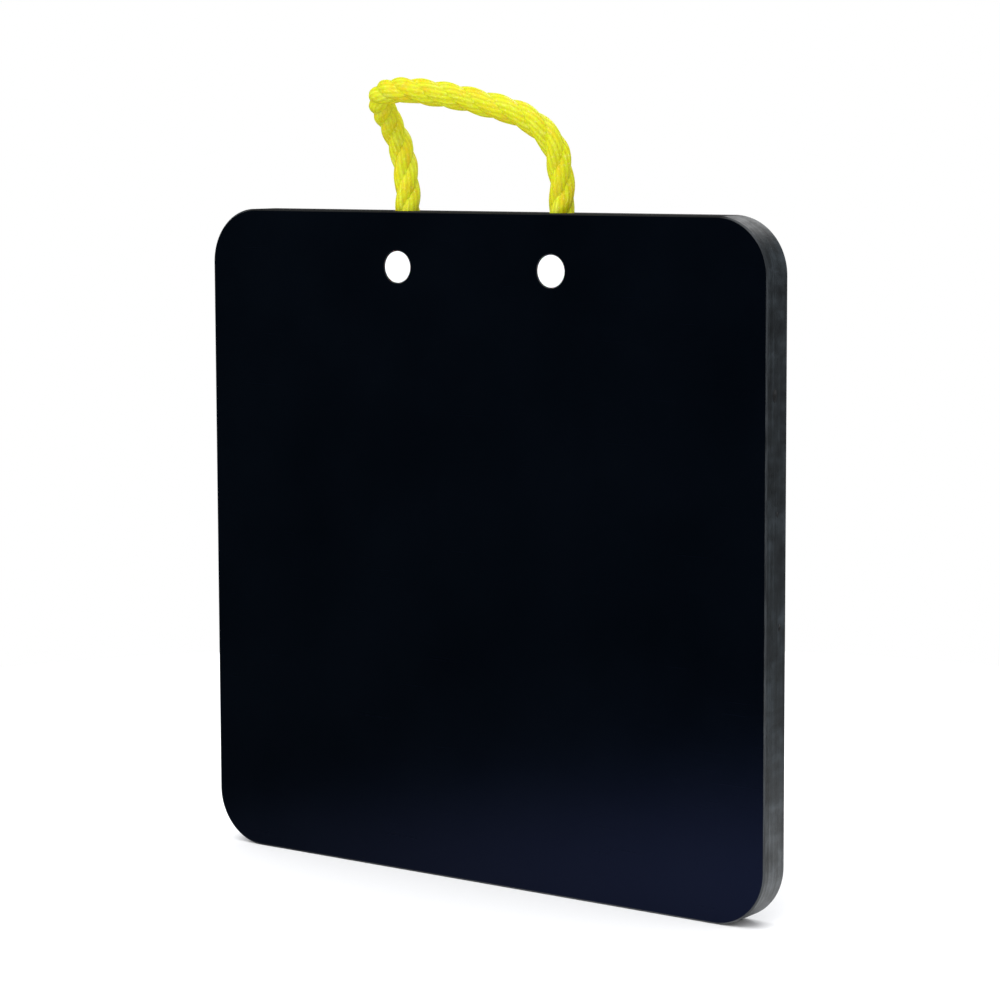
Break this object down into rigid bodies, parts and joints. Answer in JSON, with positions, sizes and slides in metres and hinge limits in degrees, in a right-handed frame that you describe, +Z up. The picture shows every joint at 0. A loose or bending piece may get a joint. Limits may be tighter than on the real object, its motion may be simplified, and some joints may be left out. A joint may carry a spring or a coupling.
{
  "type": "outrigger pad",
  "caption": "Thick square black plastic load-spreading pad with rounded corners, plugged cross holes near its top edge and a loop of yellow twisted rope as its carrying handle.",
  "frame": {"origin": "middle of the pad's bottom edge, half way through its thickness", "axes": "+Z up the pad, +X across it to the right seen from the load face, -Y out of the load face"},
  "size_m": [0.4572, 0.0567, 0.5472],
  "materials": {
    "pad": "polished black polyethylene sheet with planed satin edges",
    "plug": "smooth white moulded polyethylene",
    "rope": "three-strand twisted polypropylene rope with a slight sheen",
    "melted_rope": "melted polypropylene"
  },
  "bodies": {
    "board": {"pad": "pad", "plug_front_left": "plug", "plug_front_right": "plug", "plug_back_left": "plug", "plug_back_right": "plug", "rope_knob_left": "melted_rope", "rope_knob_right": "melted_rope", "rope_leg_left": "rope", "rope_leg_right": "rope", "rope_bend_left": "rope", "rope_bend_right": "rope"},
    "handle": {"rope_loop": "rope"}
  },
  "joints": [
    {"name": "handle_fold", "type": "hinge", "parent": "board", "child": "handle", "pos_m": [0, 0, 0.4872], "axis": [1, 0, 0], "range_deg": [-110, 70], "stiffness_Nm_per_rad": 0.5, "springref_deg": -0.69, "deforming": ["rope_bend_left", "rope_bend_right"]}
  ]
}
